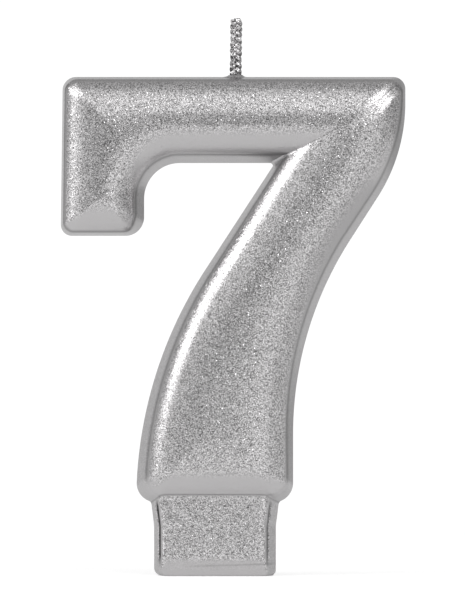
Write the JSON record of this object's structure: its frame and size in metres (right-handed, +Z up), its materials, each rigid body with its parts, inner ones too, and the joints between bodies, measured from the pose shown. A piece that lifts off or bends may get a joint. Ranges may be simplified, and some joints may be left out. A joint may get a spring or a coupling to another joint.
{
  "type": "numeral birthday candle",
  "caption": "Moulded birthday candle in the form of the numeral 7, metallic silver, with a plaited wick in the top and a flat foot that is pushed into a cake.",
  "frame": {"origin": "centre of the foot's underside, on which the candle stands", "axes": "+X to the right as the numeral is read from its front, +Y from its front to its back, +Z up towards the wick"},
  "size_m": [0.0513, 0.0126, 0.083],
  "materials": {
    "wax": "satin",
    "coat": "satin",
    "wick": "matte"
  },
  "bodies": {
    "root": {"wax_core": "wax", "silver_coat": "coat", "wick_strand_1": "wick", "wick_strand_2": "wick", "wick_strand_3": "wick"}
  },
  "joints": []
}
